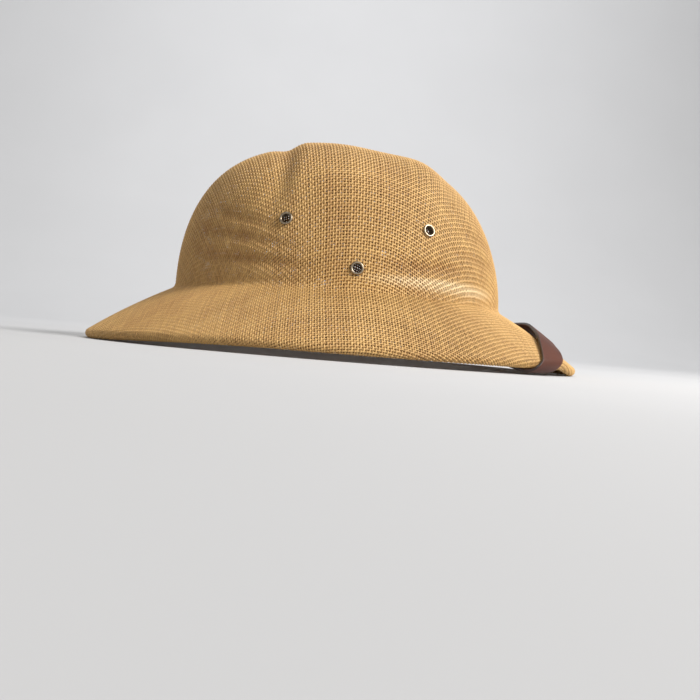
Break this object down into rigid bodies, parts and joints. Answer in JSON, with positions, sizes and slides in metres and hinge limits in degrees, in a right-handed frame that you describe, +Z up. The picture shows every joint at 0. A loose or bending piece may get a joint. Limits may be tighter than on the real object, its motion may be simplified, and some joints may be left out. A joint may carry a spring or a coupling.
{
  "type": "straw pith helmet",
  "caption": "Open-woven straw pith helmet with a domed, panelled crown, a sloping rolled-edge brim, brass vent eyelets and a leather chin strap worn over the front of the brim.",
  "frame": {"origin": "centre of the hat's outline on the surface that it rests on", "axes": "+X towards the front of the hat and its chin strap, +Y to the wearer's left, +Z up"},
  "size_m": [0.334, 0.274, 0.1415],
  "materials": {
    "straw": "open plain-woven straw, tan, matt with a slight sheen",
    "strap_leather": "smooth reddish-brown leather, semi-gloss",
    "eyelet_brass": "antique brass, darkened",
    "rivet_steel": "plain steel rivet"
  },
  "bodies": {
    "root": {"shell": "straw", "strap": "strap_leather", "eyelet_left_back": "eyelet_brass", "eyelet_left_front": "eyelet_brass", "eyelet_left_low": "eyelet_brass", "eyelet_right_back": "eyelet_brass", "eyelet_right_front": "eyelet_brass", "eyelet_right_low": "eyelet_brass", "strap_rivet_left": "rivet_steel", "strap_rivet_right": "rivet_steel"}
  },
  "joints": []
}
